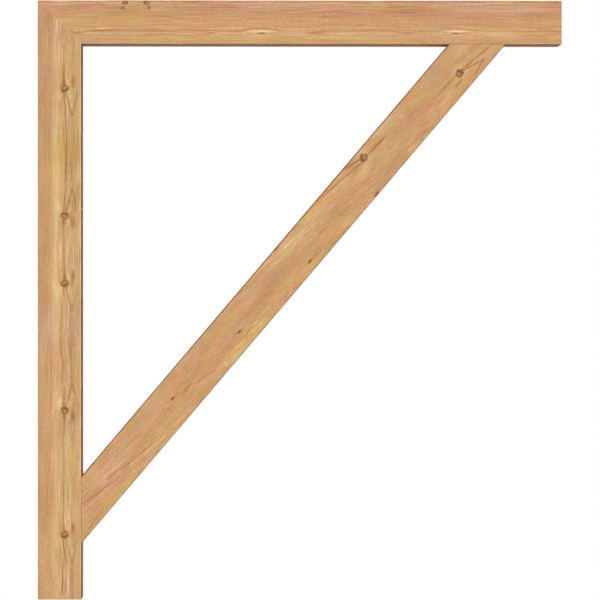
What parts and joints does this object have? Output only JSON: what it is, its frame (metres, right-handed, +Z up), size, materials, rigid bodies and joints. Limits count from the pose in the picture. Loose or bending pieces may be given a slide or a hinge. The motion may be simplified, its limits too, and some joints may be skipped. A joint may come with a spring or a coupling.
{
  "type": "eave bracket",
  "caption": "Open timber eave bracket: an upright wall post mitred to a level arm under the eave, with a straight diagonal brace between them.",
  "frame": {"origin": "middle of the post's face that lies on the wall", "axes": "+X out from the wall along the arm, +Y along the wall, +Z up"},
  "size_m": [1.0668, 0.0888, 1.2192],
  "materials": {
    "planed_cedar": "planed, unfinished, straight grain with small tight knots",
    "screw_steel": "zinc plated, satin"
  },
  "bodies": {
    "root": {"wall_post": "planed_cedar", "top_arm": "planed_cedar", "diagonal_brace": "planed_cedar", "corner_screws": "screw_steel", "brace_foot_screws": "screw_steel", "brace_head_screws": "screw_steel"}
  },
  "joints": []
}
